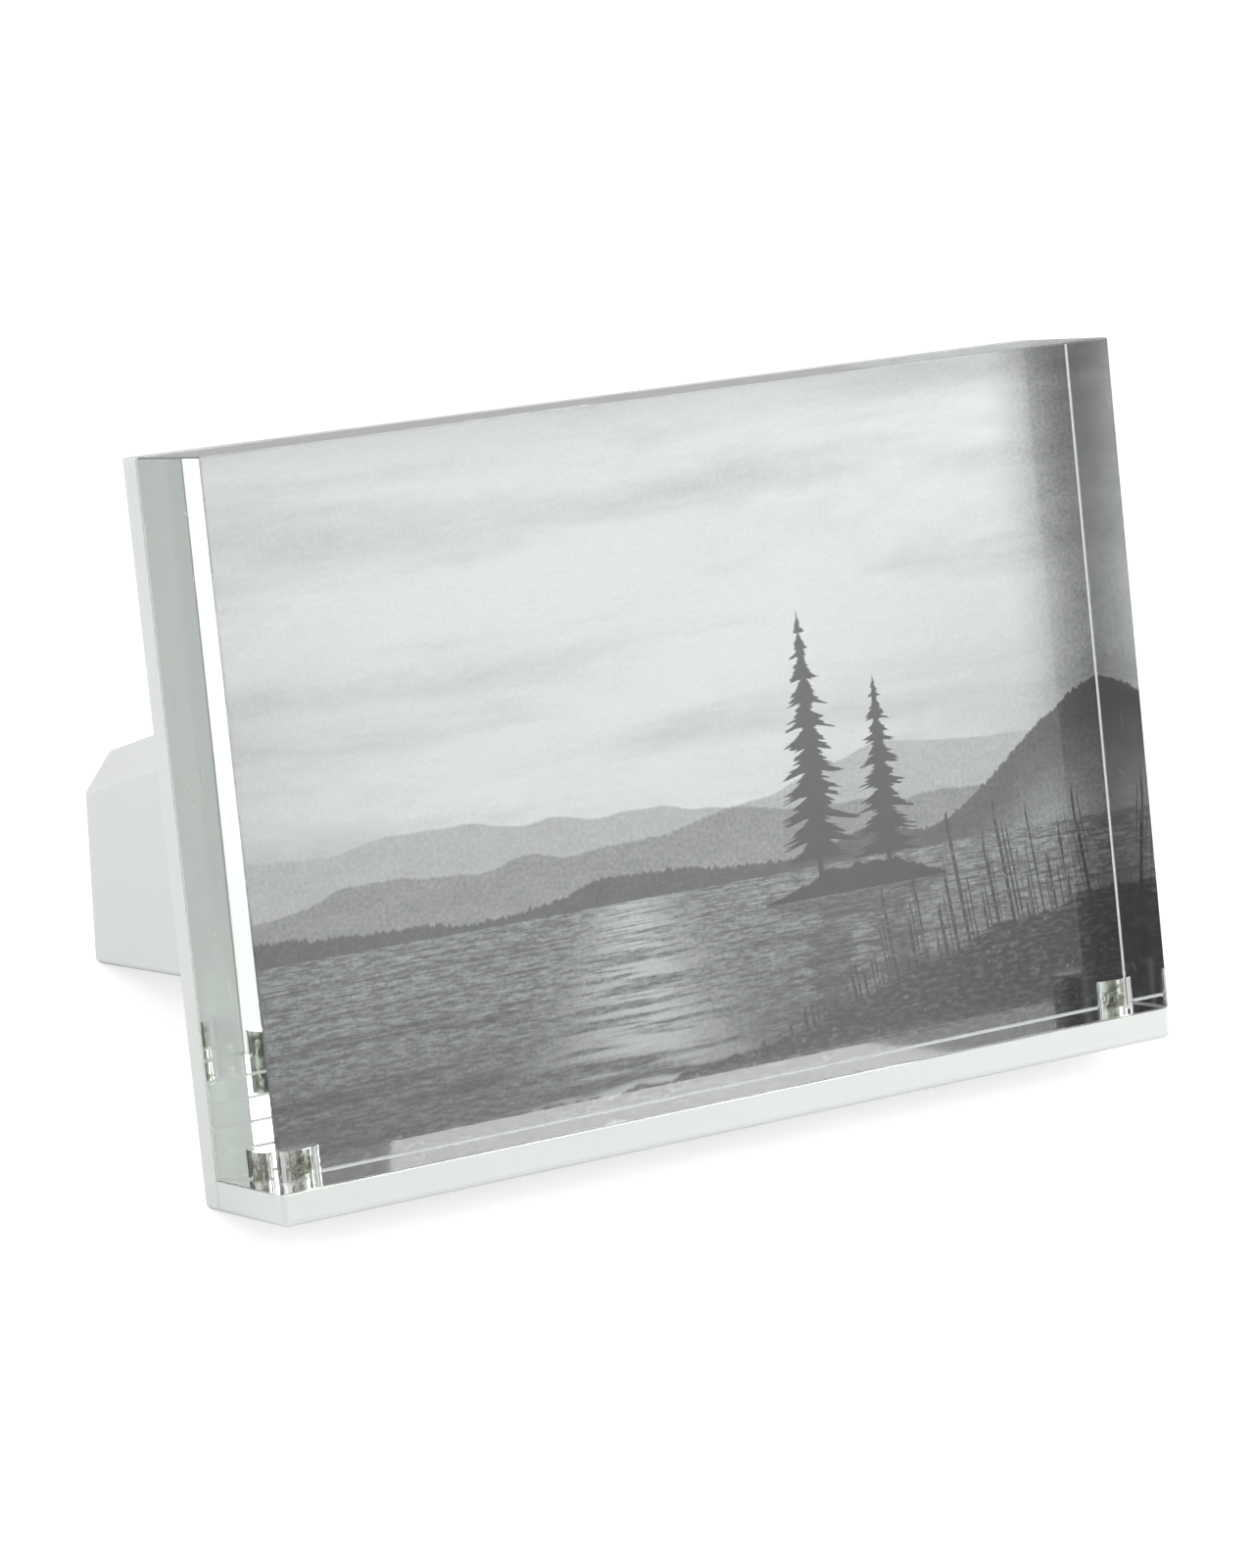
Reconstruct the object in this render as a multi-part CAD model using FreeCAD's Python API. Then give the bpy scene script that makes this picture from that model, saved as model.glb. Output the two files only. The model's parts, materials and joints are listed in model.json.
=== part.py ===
import FreeCAD, Part
import math
import os

# An acrylic block frame for one landscape print. A clear solid block stands on a white ledge in
# front of a white back plate and is held down by two pairs of magnets. The print stands between
# block and plate. A leg cemented behind the lower left corner tips the whole frame back.
#
# Every piece is first built upright, in millimetres: X runs to the right from the frame's left
# side, Y runs back from the block's front face, and Z runs up the plate from the ledge's underside.
# The finished pieces are then tipped back together until plate and leg both stand on Z = 0.

# Driving sizes of the block, the white sheets and the print
frame_width = 152.4
block_height = 101.2
block_depth = 18.9
block_edge_break = 0.25
sheet_thickness = 4.5
corner_round = 1.0
print_thickness = 0.25
print_side_inset = 0.2
print_top_inset = 0.2

# Named clearances between pieces that only stand on or beside each other
seat_gap = 0.05
print_gap = 0.05
magnet_side_gap = 0.05
magnet_end_gap = 0.1

# Magnets, the pins in the block and the discs in the ledge
magnet_diameter = 6.35
pin_length = 5.0
disc_length = 2.5
magnet_end_inset = 6.2

# The leg behind the lower left corner. One inset sets both its height over the underside and its
# distance from the left side, so that the frame leans alike on its long and on its short edge.
leg_inset = 24.8
leg_reach = 79.0
leg_width = 25.4
leg_end_height = 32.6
leg_top_slope_degrees = 11.2
leg_end_tilt_degrees = 6.8
leg_bevel_side = 4.6
leg_bevel_drop = 5.8

# How far a cutting solid runs past what it cuts
overrun = 2.0

# Places worked out from the sizes above
print_slot = print_thickness + 2 * print_gap
plate_front = block_depth + print_slot
plate_back = plate_front + sheet_thickness
block_foot = sheet_thickness + seat_gap
frame_height = block_foot + block_height
magnet_y = block_depth / 2
magnet_hole_radius = magnet_diameter / 2 + magnet_side_gap
magnet_places = {
    "left": magnet_end_inset,
    "right": frame_width - magnet_end_inset,
}
leg_top_slope = math.radians(leg_top_slope_degrees)
leg_end_tilt = math.radians(leg_end_tilt_degrees)

X_AXIS = FreeCAD.Vector(1, 0, 0)
Z_AXIS = FreeCAD.Vector(0, 0, 1)
ORIGIN = FreeCAD.Vector(0, 0, 0)


def lean_angle():
    """The angle at which the rounded foot edges of plate and leg stand on one level surface."""
    foot_round_back = corner_round * (math.tan(leg_end_tilt) + 1 / math.cos(leg_end_tilt))
    run = leg_reach - foot_round_back + corner_round
    return math.atan2(leg_inset, run)


def edges_where(shape, test):
    """The straight edges of a shape whose two end points both pass a test."""
    return [
        edge
        for edge in shape.Edges
        if len(edge.Vertexes) > 1 and all(test(vertex.Point) for vertex in edge.Vertexes)
    ]


def near(value, target):
    """True where a coordinate lies on a plane, within a small part of the sheet's thickness."""
    return abs(value - target) < sheet_thickness / 1000


def slab(low, high):
    """A box between two corner points."""
    size = high - low
    return Part.makeBox(size.x, size.y, size.z, low)


def magnet_cylinder(x, bottom, radius, height):
    """An upright cylinder on the magnets' line."""
    return Part.makeCylinder(radius, height, FreeCAD.Vector(x, magnet_y, bottom), Z_AXIS)


def make_clear_block():
    """The solid block, its edges lightly broken, with a blind hole over each pin."""
    block = slab(
        FreeCAD.Vector(0, 0, block_foot),
        FreeCAD.Vector(frame_width, block_depth, frame_height),
    )
    block = block.makeChamfer(block_edge_break, block.Edges)
    hole_depth = pin_length + magnet_end_gap
    for x in magnet_places.values():
        hole = magnet_cylinder(x, block_foot - overrun, magnet_hole_radius, hole_depth + overrun)
        block = block.cut(hole)
    return block


def make_block_magnet(side):
    """A pin magnet whose lower end is flush with the block's foot."""
    return magnet_cylinder(magnet_places[side], block_foot, magnet_diameter / 2, pin_length)


def make_ledge_magnet(side):
    """A disc magnet whose upper end is flush with the top of the ledge."""
    bottom = sheet_thickness - disc_length
    return magnet_cylinder(magnet_places[side], bottom, magnet_diameter / 2, disc_length)


def make_base_ledge():
    """The strip under the block, with rounded outer edges and a blind hole under each pin."""
    ledge = slab(ORIGIN, FreeCAD.Vector(frame_width, plate_front, sheet_thickness))

    def is_outer(point):
        return near(point.z, 0)

    def is_front_corner(point):
        return near(point.y, 0) and (near(point.x, 0) or near(point.x, frame_width))

    joint_edge = edges_where(ledge, lambda point: near(point.y, plate_front))
    rounded = edges_where(ledge, is_outer)
    rounded = [edge for edge in rounded if not any(edge.isSame(other) for other in joint_edge)]
    uprights = edges_where(ledge, is_front_corner)
    uprights = [edge for edge in uprights if edge.Length < frame_width / 2]
    ledge = ledge.makeFillet(corner_round, rounded + uprights)
    hole_depth = disc_length + magnet_end_gap
    for x in magnet_places.values():
        hole = magnet_cylinder(x, sheet_thickness - hole_depth, magnet_hole_radius, hole_depth + overrun)
        ledge = ledge.cut(hole)
    return ledge


def make_back_plate():
    """The upright sheet behind the print, its foot and its back edges rounded."""
    plate = slab(
        FreeCAD.Vector(0, plate_front, 0),
        FreeCAD.Vector(frame_width, plate_back, frame_height),
    )
    front_edges = edges_where(plate, lambda point: near(point.y, plate_front))
    foot_edges = edges_where(plate, lambda point: near(point.z, 0))
    back_edges = edges_where(plate, lambda point: near(point.y, plate_back))
    chosen = foot_edges + [edge for edge in back_edges if not any(edge.isSame(other) for other in foot_edges)]
    chosen = [edge for edge in chosen if not any(edge.isSame(other) for other in front_edges)]
    return plate.makeFillet(corner_round, chosen)


def leg_top_points():
    """The back and the front end of the line along which the leg's top slopes, in the YZ plane."""
    back = FreeCAD.Vector(
        leg_inset,
        plate_back + leg_reach - leg_end_height * math.tan(leg_end_tilt),
        leg_inset + leg_end_height,
    )
    front = FreeCAD.Vector(
        leg_inset,
        plate_back,
        back.z + (back.y - plate_back) * math.tan(leg_top_slope),
    )
    return back, front


def leg_bevel_cutter(side_x, outward):
    """A prism along the sloped top that takes off one upper edge of the leg.

    side_x is the leg's side face and outward points away from the leg, as -1 or 1."""
    back, front = leg_top_points()
    slope = (back - front).normalize()
    start = front - slope * overrun
    outline = [
        FreeCAD.Vector(side_x, start.y, start.z - leg_bevel_drop),
        FreeCAD.Vector(side_x - outward * leg_bevel_side, start.y, start.z),
        FreeCAD.Vector(side_x - outward * leg_bevel_side, start.y, start.z + overrun),
        FreeCAD.Vector(side_x + outward * overrun, start.y, start.z + overrun),
        FreeCAD.Vector(side_x + outward * overrun, start.y, start.z - leg_bevel_drop),
    ]
    face = Part.Face(Part.makePolygon(outline + outline[:1]))
    run = (back - front).Length + 2 * overrun
    return face.extrude(slope * run)


def make_rear_leg():
    """The leg: a flat foot, a leaning end, a top that slopes down to the end, and soft edges."""
    back, front = leg_top_points()
    outline = [
        FreeCAD.Vector(leg_inset, plate_back, leg_inset),
        FreeCAD.Vector(leg_inset, plate_back + leg_reach, leg_inset),
        back,
        front,
    ]
    side = Part.Face(Part.makePolygon(outline + outline[:1]))
    leg = side.extrude(X_AXIS * leg_width)
    leg = leg.cut(leg_bevel_cutter(leg_inset, -1))
    leg = leg.cut(leg_bevel_cutter(leg_inset + leg_width, 1))
    joint_edges = edges_where(leg, lambda point: near(point.y, plate_back))
    soft_edges = [edge for edge in leg.Edges if not any(edge.isSame(other) for other in joint_edges)]
    return leg.makeFillet(corner_round, soft_edges)


def make_photo_print():
    """The paper print, standing on the ledge with a thin gap before and behind it."""
    return slab(
        FreeCAD.Vector(print_side_inset, block_depth + print_gap, block_foot),
        FreeCAD.Vector(
            frame_width - print_side_inset,
            block_depth + print_gap + print_thickness,
            frame_height - print_top_inset,
        ),
    )


def make_upright_pieces():
    """Every piece by name, still upright."""
    pieces = {
        "clear_block": make_clear_block(),
        "back_plate": make_back_plate(),
        "base_ledge": make_base_ledge(),
        "rear_leg": make_rear_leg(),
        "photo_print": make_photo_print(),
    }
    for side in magnet_places:
        pieces["block_magnet_" + side] = make_block_magnet(side)
        pieces["ledge_magnet_" + side] = make_ledge_magnet(side)
    return pieces


def tip_back(pieces):
    """Tip the pieces back and put the origin under the middle of the whole, on the surface."""
    for piece in pieces.values():
        piece.rotate(ORIGIN, X_AXIS, -math.degrees(lean_angle()))
    box = Part.makeCompound(list(pieces.values())).optimalBoundingBox(False, False)
    shift = FreeCAD.Vector(-box.Center.x, -box.Center.y, -box.ZMin)
    for piece in pieces.values():
        piece.translate(shift)
    return shift


def main():
    os.makedirs("parts", exist_ok=True)
    pieces = make_upright_pieces()
    shift = tip_back(pieces)
    print("lean in degrees", round(math.degrees(lean_angle()), 4))
    print("shift after tipping", [round(value, 4) for value in shift])
    for name, piece in pieces.items():
        piece.exportStep(os.path.join("parts", name + ".step"))
        print(name, "solids", len(piece.Solids), "valid", piece.isValid(), "volume", round(piece.Volume, 1))


main()
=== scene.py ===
import json
import math

import bpy
from bpy.props import FloatProperty, FloatVectorProperty, PointerProperty
from mathutils import Matrix, Quaternion, Vector

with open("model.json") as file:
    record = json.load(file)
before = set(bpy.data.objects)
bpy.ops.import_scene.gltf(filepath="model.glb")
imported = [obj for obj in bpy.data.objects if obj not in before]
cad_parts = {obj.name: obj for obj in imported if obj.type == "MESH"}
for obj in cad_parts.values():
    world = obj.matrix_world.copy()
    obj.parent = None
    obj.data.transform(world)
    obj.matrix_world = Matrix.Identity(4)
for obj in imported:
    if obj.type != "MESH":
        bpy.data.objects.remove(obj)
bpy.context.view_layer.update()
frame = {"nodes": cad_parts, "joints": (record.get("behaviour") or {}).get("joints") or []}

bl_info = {
    "name": "Acrylic block frame",
    "version": (1, 0, 0),
    "blender": (4, 5, 0),
    "location": "3D View > Sidebar > Block Frame",
    "description": "Finishes an acrylic block picture frame and sets its studio",
    "category": "Object",
}

NODES = frame["nodes"]
MM = 0.001

# The frame leans back: the block lifts off along the plate, so its joint's axis gives the lean.
LIFT_AXIS = next(joint for joint in frame["joints"] if joint["name"] == "block_lift")["axis"]
LEAN = math.atan2(LIFT_AXIS[1], LIFT_AXIS[2])

BLOCK_NODES = ["clear_block"]
WHITE_NODES = ["back_plate", "base_ledge", "rear_leg"]
MAGNET_NODES = ["block_magnet_left", "block_magnet_right", "ledge_magnet_left", "ledge_magnet_right"]
PRINT_NODES = ["photo_print"]


def upright_box(node):
    """The lowest and highest corner of a node once its lean is undone, in metres."""
    turn = Matrix.Rotation(LEAN, 3, "X")
    points = [turn @ vertex.co for vertex in NODES[node].data.vertices]
    low = Vector(min(point[axis] for point in points) for axis in range(3))
    high = Vector(max(point[axis] for point in points) for axis in range(3))
    return low, high


def tone(value):
    """A neutral colour of one reflectance."""
    return (value, value, value, 1.0)


class Wiring:
    """Adds nodes to one node tree and joins them. Numbers and colours set a socket, sockets join it."""

    def __init__(self, tree):
        self.tree = tree

    def put(self, socket, value):
        if isinstance(value, bpy.types.NodeSocket):
            self.tree.links.new(value, socket)
        elif value is not None:
            socket.default_value = value

    def node(self, kind, inputs=None, **settings):
        made = self.tree.nodes.new(kind)
        for name, value in settings.items():
            setattr(made, name, value)
        for name, value in (inputs or {}).items():
            self.put(made.inputs[name], value)
        return made

    def math(self, operation, first, second=None, third=None, clamp=False):
        made = self.node("ShaderNodeMath", operation=operation, use_clamp=clamp)
        for socket, value in zip(made.inputs, (first, second, third)):
            self.put(socket, value)
        return made.outputs[0]

    def smooth(self, value, low, high, to_low=0.0, to_high=1.0):
        """A soft step from to_low, where value is low, to to_high, where it is high."""
        made = self.node("ShaderNodeMapRange", interpolation_type="SMOOTHSTEP")
        for socket, number in zip(made.inputs, (value, low, high, to_low, to_high)):
            self.put(socket, number)
        return made.outputs["Result"]

    # The Mix node's sockets share names, so they go by number: 2 and 3 hold numbers, 6 and 7 colours.
    def mix(self, factor, first, second, blend="MIX"):
        settings = {"data_type": "RGBA", "blend_type": blend}
        return self.node("ShaderNodeMix", {0: factor, 6: first, 7: second}, **settings).outputs[2]

    def blend_values(self, factor, first, second):
        return self.node("ShaderNodeMix", {0: factor, 2: first, 3: second}, data_type="FLOAT").outputs[0]

    def shaded(self, color, factor):
        """A colour times one number."""
        return self.mix(1.0, color, self.join(factor, factor, factor), "MULTIPLY")

    def swing(self, noise):
        """Noise counted up and down from its middle."""
        return self.math("SUBTRACT", noise, 0.5)

    def vector(self, operation, first, second):
        return self.node("ShaderNodeVectorMath", {0: first, 1: second}, operation=operation).outputs[0]

    def stretch(self, vector, scale):
        return self.vector("MULTIPLY", vector, scale)

    def reach(self, vector, direction):
        """How far a vector goes in one direction."""
        made = self.node("ShaderNodeVectorMath", {0: vector, 1: direction}, operation="DOT_PRODUCT")
        return made.outputs["Value"]

    def turned(self, vector, angle):
        """A vector turned about the X axis."""
        return self.node(
            "ShaderNodeVectorRotate",
            {"Vector": vector, "Axis": (1.0, 0.0, 0.0), "Angle": angle},
            rotation_type="AXIS_ANGLE",
        ).outputs[0]

    def split(self, vector):
        return self.node("ShaderNodeSeparateXYZ", {0: vector}).outputs

    def join(self, x, y, z):
        return self.node("ShaderNodeCombineXYZ", {0: x, 1: y, 2: z}).outputs[0]

    def noise(self, vector, scale, detail=2.0, roughness=0.5, distortion=0.0):
        look = {"Scale": scale, "Detail": detail, "Roughness": roughness, "Distortion": distortion}
        return self.node("ShaderNodeTexNoise", {"Vector": vector, **look}).outputs["Fac"]

    def noise_line(self, place, scale, detail=2.0, roughness=0.5):
        """Noise along one number."""
        return self.node(
            "ShaderNodeTexNoise",
            {"W": place, "Scale": scale, "Detail": detail, "Roughness": roughness},
            noise_dimensions="1D",
        ).outputs["Fac"]

    def group(self, tree, inputs):
        made = self.node("ShaderNodeGroup", node_tree=tree)
        for name, value in inputs.items():
            self.put(made.inputs[name], value)
        return made.outputs


def new_group(name, inputs, outputs):
    """An empty shader node group with named sockets, and its wiring, inputs and outputs."""
    tree = bpy.data.node_groups.new(name, "ShaderNodeTree")
    for label, kind, default in inputs:
        socket = tree.interface.new_socket(name=label, in_out="INPUT", socket_type=kind)
        if default is not None:
            socket.default_value = default
    for label, kind in outputs:
        tree.interface.new_socket(name=label, in_out="OUTPUT", socket_type=kind)
    wiring = Wiring(tree)
    entry = wiring.node("NodeGroupInput").outputs
    leave = wiring.node("NodeGroupOutput").inputs
    return tree, wiring, entry, leave


def bare_material(name):
    """A material with an empty tree, and its wiring."""
    material = bpy.data.materials.new(name)
    material.use_nodes = True
    material.node_tree.nodes.clear()
    return material, Wiring(material.node_tree)


def new_material(name):
    """A material with its wiring, its Principled shader and its output."""
    material, wiring = bare_material(name)
    shader = wiring.node("ShaderNodeBsdfPrincipled")
    output = wiring.node("ShaderNodeOutputMaterial", {"Surface": shader.outputs[0]})
    return material, wiring, shader, output


def dress(names, material):
    """Gives the named CAD nodes one material."""
    for name in names:
        piece = NODES[name]
        piece.data.materials.clear()
        piece.data.materials.append(material)


def scratch_group():
    """Fine short scratches: a mask that is 1 on a scratch, and a height that falls there."""
    tree, w, entry, leave = new_group(
        "Fine scratches",
        [
            ("Vector", "NodeSocketVector", None),
            ("Length", "NodeSocketFloat", 0.006),
            ("Density", "NodeSocketFloat", 0.3),
            ("Seed", "NodeSocketFloat", 0.0),
        ],
        [("Mask", "NodeSocketFloat"), ("Height", "NodeSocketFloat")],
    )
    turns_and_shifts = ((0.5, 0.0), (-0.9, 7.3))
    narrowing = 14.0
    line_half_width = 0.012
    folds_per_length, patches_per_length = 1.3, 0.7
    per_length = w.math("DIVIDE", 1.0, entry["Length"])
    masks = []
    for turn, shift in turns_and_shifts:
        rotated = w.turned(entry["Vector"], turn)
        scaled = w.stretch(rotated, w.join(per_length, per_length, per_length))
        moved = w.vector("ADD", scaled, w.join(entry["Seed"], shift, shift))
        folds = w.noise(w.stretch(moved, (1.0, 1.0, narrowing)), folds_per_length, 1.0)
        line = w.smooth(w.math("ABSOLUTE", w.swing(folds)), line_half_width, 0.0)
        patch = w.smooth(w.noise(moved, patches_per_length, 1.0), 0.62, 0.72)
        masks.append(w.math("MULTIPLY", line, patch))
    both = w.math("MULTIPLY", w.math("MAXIMUM", *masks), entry["Density"], clamp=True)
    w.put(leave["Mask"], both)
    w.put(leave["Height"], w.math("SUBTRACT", 1.0, both))
    return tree


def tick_group():
    """Short straight scratches, one in some cells of a grid, each with its own turn and length."""
    tree, w, entry, leave = new_group(
        "Scratch ticks",
        [
            ("Vector", "NodeSocketVector", None),
            ("Spacing", "NodeSocketFloat", 0.006),
            ("Length", "NodeSocketFloat", 0.004),
            ("Width", "NodeSocketFloat", 0.00008),
            ("Share", "NodeSocketFloat", 0.5),
        ],
        [("Mask", "NodeSocketFloat")],
    )
    turn_range, least_turn = 1.3, 0.35
    half_range, least_half = 0.4, 0.15
    bend_per_metre = 40.0
    cells = w.node(
        "ShaderNodeTexVoronoi",
        {"Vector": entry["Vector"], "Scale": w.math("DIVIDE", 1.0, entry["Spacing"])},
        voronoi_dimensions="2D",
    )
    chance = w.split(cells.outputs["Color"])
    offset = w.split(w.vector("SUBTRACT", entry["Vector"], cells.outputs["Position"]))
    turn = w.math("MULTIPLY_ADD", chance[0], turn_range, least_turn)
    cosine = w.math("COSINE", turn)
    sine = w.math("SINE", turn)
    along = w.math("ADD", w.math("MULTIPLY", offset[0], cosine), w.math("MULTIPLY", offset[1], sine))
    across = w.math("SUBTRACT", w.math("MULTIPLY", offset[1], cosine), w.math("MULTIPLY", offset[0], sine))
    bend = w.math("MULTIPLY", w.math("MULTIPLY", along, along), bend_per_metre)
    across = w.math("ABSOLUTE", w.math("ADD", across, bend))
    half = w.math("MULTIPLY", entry["Length"], w.math("MULTIPLY_ADD", chance[1], half_range, least_half))
    end = w.smooth(w.math("DIVIDE", w.math("ABSOLUTE", along), half), 1.0, 0.7)
    line = w.smooth(w.math("DIVIDE", across, entry["Width"]), 1.0, 0.5)
    there = w.math("LESS_THAN", chance[2], entry["Share"])
    w.put(leave["Mask"], w.math("MULTIPLY", w.math("MULTIPLY", end, line), there))
    return tree


def speck_group():
    """Dust: small round specks of uneven size."""
    tree, w, entry, leave = new_group(
        "Dust specks",
        [
            ("Vector", "NodeSocketVector", None),
            ("Spacing", "NodeSocketFloat", 0.004),
            ("Size", "NodeSocketFloat", 0.05),
        ],
        [("Mask", "NodeSocketFloat")],
    )
    cells = w.node(
        "ShaderNodeTexVoronoi",
        {"Vector": entry["Vector"], "Scale": w.math("DIVIDE", 1.0, entry["Spacing"])},
    )
    share_of_bare_cells = 0.6
    chance = w.split(cells.outputs["Color"])
    radius = w.math("MULTIPLY", entry["Size"], w.smooth(chance[0], share_of_bare_cells, 1.0))
    edge = w.math("DIVIDE", cells.outputs["Distance"], w.math("ADD", radius, 0.0001))
    w.put(leave["Mask"], w.smooth(edge, 1.0, 0.6))
    return tree


def mottle_group():
    """Slow changes of lightness over a colour."""
    tree, w, entry, leave = new_group(
        "Slow mottle",
        [
            ("Vector", "NodeSocketVector", None),
            ("Color", "NodeSocketColor", tone(0.8)),
            ("Patch", "NodeSocketFloat", 0.02),
            ("Amount", "NodeSocketFloat", 0.05),
        ],
        [("Color", "NodeSocketColor"), ("Mask", "NodeSocketFloat")],
    )
    cloud = w.noise(entry["Vector"], w.math("DIVIDE", 1.0, entry["Patch"]), 3.0)
    lift = w.math("MULTIPLY", w.swing(cloud), w.math("MULTIPLY", entry["Amount"], 2.0))
    w.put(leave["Color"], w.shaded(entry["Color"], w.math("ADD", 1.0, lift)))
    w.put(leave["Mask"], cloud)
    return tree


def ridge_group():
    """A range of hills across the print: 1 below its skyline."""
    tree, w, entry, leave = new_group(
        "Skyline",
        [
            ("Across", "NodeSocketFloat", 0.0),
            ("Up", "NodeSocketFloat", 0.0),
            ("Height", "NodeSocketFloat", 0.4),
            ("Relief", "NodeSocketFloat", 0.1),
            ("Frequency", "NodeSocketFloat", 3.0),
            ("Teeth", "NodeSocketFloat", 0.0),
            ("Seed", "NodeSocketFloat", 0.0),
        ],
        [("Mask", "NodeSocketFloat"), ("Depth", "NodeSocketFloat")],
    )
    teeth_across = 150.0
    soft_edge = 0.002
    place = w.math("MULTIPLY_ADD", entry["Across"], entry["Frequency"], entry["Seed"])
    slow = w.swing(w.noise_line(place, 1.0, 4.0, 0.45))
    fine = w.swing(w.noise_line(w.math("MULTIPLY", entry["Across"], teeth_across), 1.0, 2.0, 0.7))
    skyline = w.math("MULTIPLY_ADD", slow, w.math("MULTIPLY", entry["Relief"], 2.0), entry["Height"])
    skyline = w.math("MULTIPLY_ADD", fine, entry["Teeth"], skyline)
    depth = w.math("SUBTRACT", skyline, entry["Up"])
    w.put(leave["Depth"], depth)
    w.put(leave["Mask"], w.smooth(depth, -soft_edge, soft_edge))
    return tree


def pine_group():
    """One pine's outline: 1 inside its tiers of branches or its trunk."""
    tree, w, entry, leave = new_group(
        "Pine",
        [
            ("Across", "NodeSocketFloat", 0.0),
            ("Up", "NodeSocketFloat", 0.0),
            ("Foot across", "NodeSocketFloat", 0.5),
            ("Foot up", "NodeSocketFloat", 0.3),
            ("Height", "NodeSocketFloat", 0.3),
            ("Width", "NodeSocketFloat", 0.04),
            ("Tiers", "NodeSocketFloat", 11.0),
            ("Seed", "NodeSocketFloat", 0.0),
        ],
        [("Mask", "NodeSocketFloat")],
    )
    droop_share = 0.9
    bough_across = 34.0
    trunk_half_width = 0.0035
    bare_trunk_share = 0.07
    risen = w.math("DIVIDE", w.math("SUBTRACT", entry["Up"], entry["Foot up"]), entry["Height"])
    aside = w.math("SUBTRACT", entry["Across"], entry["Foot across"])
    which = w.math("MULTIPLY_ADD", w.math("SIGN", aside), 3.7, entry["Seed"])
    away = w.math("ABSOLUTE", aside)
    droop = w.math("MULTIPLY_ADD", away, droop_share, risen)
    tier = w.math("FRACT", w.math("MULTIPLY", droop, entry["Tiers"]))
    taper = w.math("POWER", w.math("SUBTRACT", 1.0, risen, clamp=True), 0.85)
    reach = w.math("MULTIPLY", taper, w.smooth(tier, 0.0, 1.0, 1.05, 0.42))
    reach = w.math("MULTIPLY", entry["Width"], reach)
    ragged = w.noise_line(w.math("MULTIPLY_ADD", droop, bough_across, which), 1.0, 3.0, 0.7)
    reach = w.math("MULTIPLY", reach, w.smooth(ragged, 0.2, 0.8, 0.45, 1.35))
    branches = w.smooth(w.math("SUBTRACT", reach, away), -0.001, 0.0015)
    branches = w.math("MULTIPLY", branches, w.smooth(risen, bare_trunk_share, bare_trunk_share + 0.03))
    branches = w.math("MULTIPLY", branches, w.math("LESS_THAN", risen, 1.0))
    bark = w.math("MULTIPLY", w.smooth(away, trunk_half_width, 0.0022), w.math("GREATER_THAN", risen, 0.0))
    bark = w.math("MULTIPLY", bark, w.math("LESS_THAN", risen, 0.9))
    w.put(leave["Mask"], w.math("MAXIMUM", branches, bark))
    return tree


GROUPS = {}


def shared_groups():
    """Builds the shared node groups once."""
    if not GROUPS:
        GROUPS.update(
            scratches=scratch_group(),
            ticks=tick_group(),
            specks=speck_group(),
            mottle=mottle_group(),
            skyline=ridge_group(),
            pine=pine_group(),
        )
    return GROUPS


def object_place(w):
    """The point on the piece, in metres, in the object's own frame."""
    return w.node("ShaderNodeTexCoord").outputs["Object"]


def upright_place(w):
    """The same point with the frame's lean undone."""
    return w.turned(object_place(w), LEAN)


def face_place(w):
    """The same point laid flat, and a mask of the two ends.

    Flat means along and up on the front and back, and in and up on the ends."""
    point = w.split(upright_place(w))
    facing = w.split(w.node("ShaderNodeTexCoord").outputs["Normal"])[0]
    end = w.math("GREATER_THAN", w.math("ABSOLUTE", facing), 0.7)
    return w.join(w.blend_values(end, point[0], point[1]), point[2], 0.0), end


def broken_edges(w):
    """A mask of the block's broken edges, which face no way that a face does, apart from the holes' walls."""
    low, high = upright_box("clear_block")
    edge_margin = 0.5 * MM
    normal = w.turned(w.node("ShaderNodeTexCoord").outputs["Normal"], LEAN)
    x, y, z = (w.math("ABSOLUTE", part) for part in w.split(normal))
    slanted = w.math("LESS_THAN", w.math("MAXIMUM", w.math("MAXIMUM", x, y), z), 0.95)
    from_middle = w.math("SUBTRACT", w.split(upright_place(w))[1], (low.y + high.y) / 2)
    outer = w.math("GREATER_THAN", w.math("ABSOLUTE", from_middle), (high.y - low.y) / 2 - edge_margin)
    level = w.math("GREATER_THAN", z, 0.5)
    return w.math("MULTIPLY", slanted, w.math("MAXIMUM", outer, level))


def share_property(name, description, default):
    """A setting that runs from nothing to all."""
    return FloatProperty(name=name, description=description, default=default, min=0.0, max=1.0)


class BlockSettings(bpy.types.PropertyGroup):
    """Sizes and colours of the clear block's finish."""

    ior: FloatProperty(
        name="Index",
        description="Refractive index of the acrylic",
        default=1.54,
        min=1.3,
        max=1.8,
    )
    tint: FloatVectorProperty(
        name="Tint",
        description="Colour that deep acrylic turns",
        subtype="COLOR",
        size=4,
        default=(0.62, 0.78, 0.66, 1.0),
        min=0.0,
        max=1.0,
    )
    depth: FloatProperty(
        name="Density",
        description="How strongly a metre of acrylic takes on the tint",
        default=2.4,
        min=0.0,
        max=20.0,
    )
    polish: share_property("Polish", "Roughness of the polished faces away from their marks", 0.015)
    edge_roughness: share_property("Edge roughness", "Roughness of the scraped edges", 0.35)
    scratch_length: FloatProperty(
        name="Scratch length",
        description="Length of a fine scratch",
        default=7 * MM,
        min=0.0005,
        unit="LENGTH",
    )


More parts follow.
